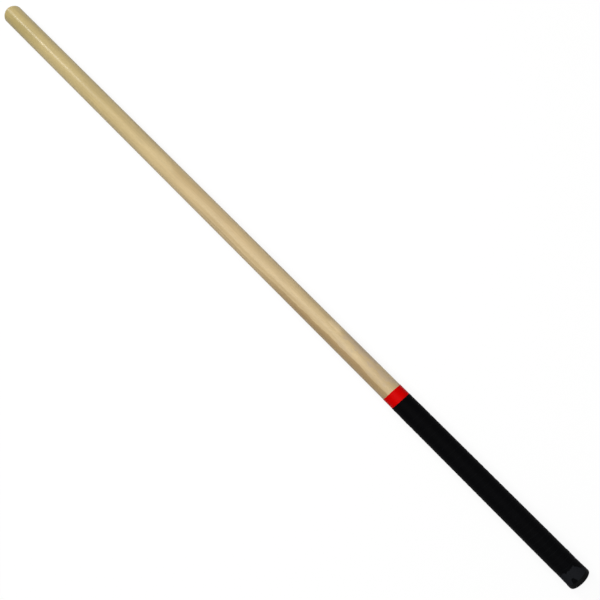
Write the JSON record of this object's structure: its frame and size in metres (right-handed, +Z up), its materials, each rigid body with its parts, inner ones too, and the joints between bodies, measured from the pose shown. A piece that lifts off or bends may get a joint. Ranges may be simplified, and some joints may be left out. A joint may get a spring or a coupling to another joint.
{
  "type": "stickball bat",
  "caption": "Slim straight wooden bat with a domed tip, a black tape-wound grip, a red marker band and a black butt cap; for hitting a small rubber ball.",
  "frame": {"origin": "on the floor under the middle of the bat's length, the bat lying flat", "axes": "+X along the bat from the butt to the tip, +Z up"},
  "size_m": [1.016, 0.0284, 0.0284],
  "materials": {
    "lacquered_wood": "satin lacquer over pale hardwood",
    "black_rubber": "matt moulded",
    "red_tape": "smooth satin vinyl tape",
    "black_tape": "wound vinyl grip tape"
  },
  "bodies": {
    "root": {"stick": "lacquered_wood", "butt_cap": "black_rubber", "red_band": "red_tape", "grip_tape": "black_tape"}
  },
  "joints": []
}
